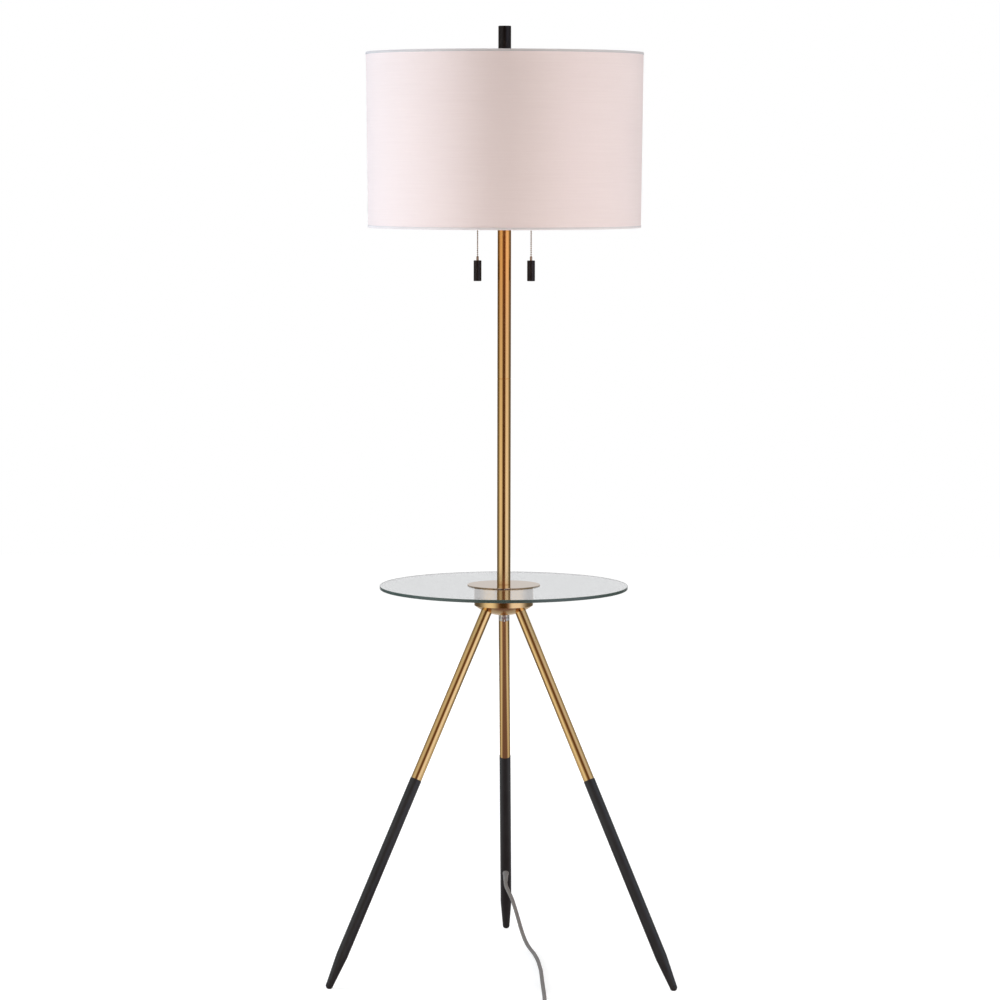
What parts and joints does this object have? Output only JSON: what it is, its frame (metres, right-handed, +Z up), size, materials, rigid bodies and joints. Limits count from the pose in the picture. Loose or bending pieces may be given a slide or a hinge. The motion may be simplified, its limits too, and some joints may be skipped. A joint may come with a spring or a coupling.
{
  "type": "floor lamp with table",
  "caption": "Floor lamp on a splayed tripod with a round glass table on its pole, a drum shade, paired bulbs and pull chains.",
  "frame": {"origin": "the pole's axis at floor level, midway between the three feet", "axes": "+Z up along the pole, +Y towards the wired leg, +X to the right in the picture"},
  "size_m": [0.5406, 0.7063, 1.4761],
  "materials": {
    "brass_finish": "polished brass plating",
    "brass_parts": "plain",
    "chain_bronze": "dark plated",
    "black_satin": "satin black",
    "black_metal": "satin black",
    "plated_steel": "zinc plated",
    "nickel": "bright nickel",
    "lamp_metal": "bright",
    "rubber_black": "matte",
    "clear_pad": "clear",
    "table_glass": "clear with a green edge",
    "foot_plastic": "black",
    "bushing_grey": "light grey",
    "insulator": "black",
    "bulb_frosted": "frosted",
    "shade_fabric": "fine pale linen weave",
    "shade_edge": "rolled edge",
    "cord_grey": "grey sheath",
    "plug_plastic": "grey with metal blades"
  },
  "bodies": {
    "stand": {"hub_shell": "brass_finish", "hub_plate": "plated_steel", "hub_screws": "plated_steel", "hub_nipple": "plated_steel", "hub_nut": "plated_steel", "glass_gasket": "rubber_black", "glass_top": "table_glass", "flange_pad": "clear_pad", "table_flange": "brass_finish", "leg_upper_left": "brass_finish", "leg_upper_right": "brass_finish", "leg_upper_back": "brass_finish", "leg_lower_left": "black_satin", "leg_lower_right": "black_satin", "leg_lower_back": "black_satin", "leg_top_studs": "plated_steel", "leg_top_bushes": "plated_steel", "leg_joint_studs": "plated_steel", "leg_joint_bushes": "plated_steel", "foot_glides": "foot_plastic", "wired_leg_nut": "nickel", "cord_bushing": "bushing_grey", "lower_pole": "brass_finish", "upper_pole": "brass_finish", "pole_joint_stud": "plated_steel", "pole_bushes": "plated_steel", "cluster_nipple": "plated_steel", "cluster_body": "brass_finish", "socket_nipples": "plated_steel", "socket_cap_left": "brass_finish", "socket_cap_right": "brass_finish", "socket_shell_left": "brass_finish", "socket_shell_right": "brass_finish", "socket_core_left": "insulator", "socket_core_right": "insulator", "screw_shells": "lamp_metal", "socket_contacts": "brass_parts", "chain_guides": "brass_finish", "riser_rod": "brass_finish", "riser_seat": "brass_finish", "inner_wiring": "cord_grey", "cord_run": "cord_grey", "cord_coil": "cord_grey", "power_plug": "plug_plastic"},
    "shade": {"shade_drum": "shade_fabric", "shade_spider": "plated_steel", "shade_bottom_ring": "plated_steel", "shade_trim_top": "shade_edge", "shade_trim_bottom": "shade_edge"},
    "finial_knob": {"finial": "black_metal"},
    "bulb_left": {"bulb_base_left": "lamp_metal", "bulb_glass_left": "bulb_frosted"},
    "bulb_right": {"bulb_base_right": "lamp_metal", "bulb_glass_right": "bulb_frosted"},
    "switch_left": {"switch_clip_left": "brass_parts"},
    "switch_right": {"switch_clip_right": "brass_parts"},
    "chain_left": {"pull_chain_left": "chain_bronze", "chain_pull_left": "black_metal"},
    "chain_right": {"pull_chain_right": "chain_bronze", "chain_pull_right": "black_metal"}
  },
  "joints": [
    {"name": "pull_left", "type": "slide", "parent": "stand", "child": "switch_left", "axis": [0, 0, -1], "range_m": [0, 0.009], "stiffness_N_per_m": 900, "springref_m": -0.002},
    {"name": "pull_right", "type": "slide", "parent": "stand", "child": "switch_right", "axis": [0, 0, -1], "range_m": [0, 0.009], "stiffness_N_per_m": 900, "springref_m": -0.002},
    {"name": "chain_swing_left", "type": "hinge", "parent": "switch_left", "child": "chain_left", "pos_m": [-0.0415, 0, 1.25215], "axis": [0, 1, 0], "range_deg": [-8, 35]},
    {"name": "chain_swing_right", "type": "hinge", "parent": "switch_right", "child": "chain_right", "pos_m": [0.0415, 0, 1.25215], "axis": [0, 1, 0], "range_deg": [-35, 8]},
    {"name": "shade_turn", "type": "hinge", "parent": "stand", "child": "shade", "pos_m": [0, 0, 1.4235], "axis": [0, 0, 1], "continuous": true},
    {"name": "finial_turn", "type": "hinge", "parent": "stand", "child": "finial_knob", "pos_m": [0, 0, 1.4251], "axis": [0, 0, 1], "continuous": true},
    {"name": "bulb_turn_left", "type": "hinge", "parent": "stand", "child": "bulb_left", "pos_m": [-0.1, 0, 1.2782], "axis": [-1, 0, 0], "continuous": true},
    {"name": "bulb_turn_right", "type": "hinge", "parent": "stand", "child": "bulb_right", "pos_m": [0.1, 0, 1.2782], "axis": [1, 0, 0], "continuous": true}
  ]
}
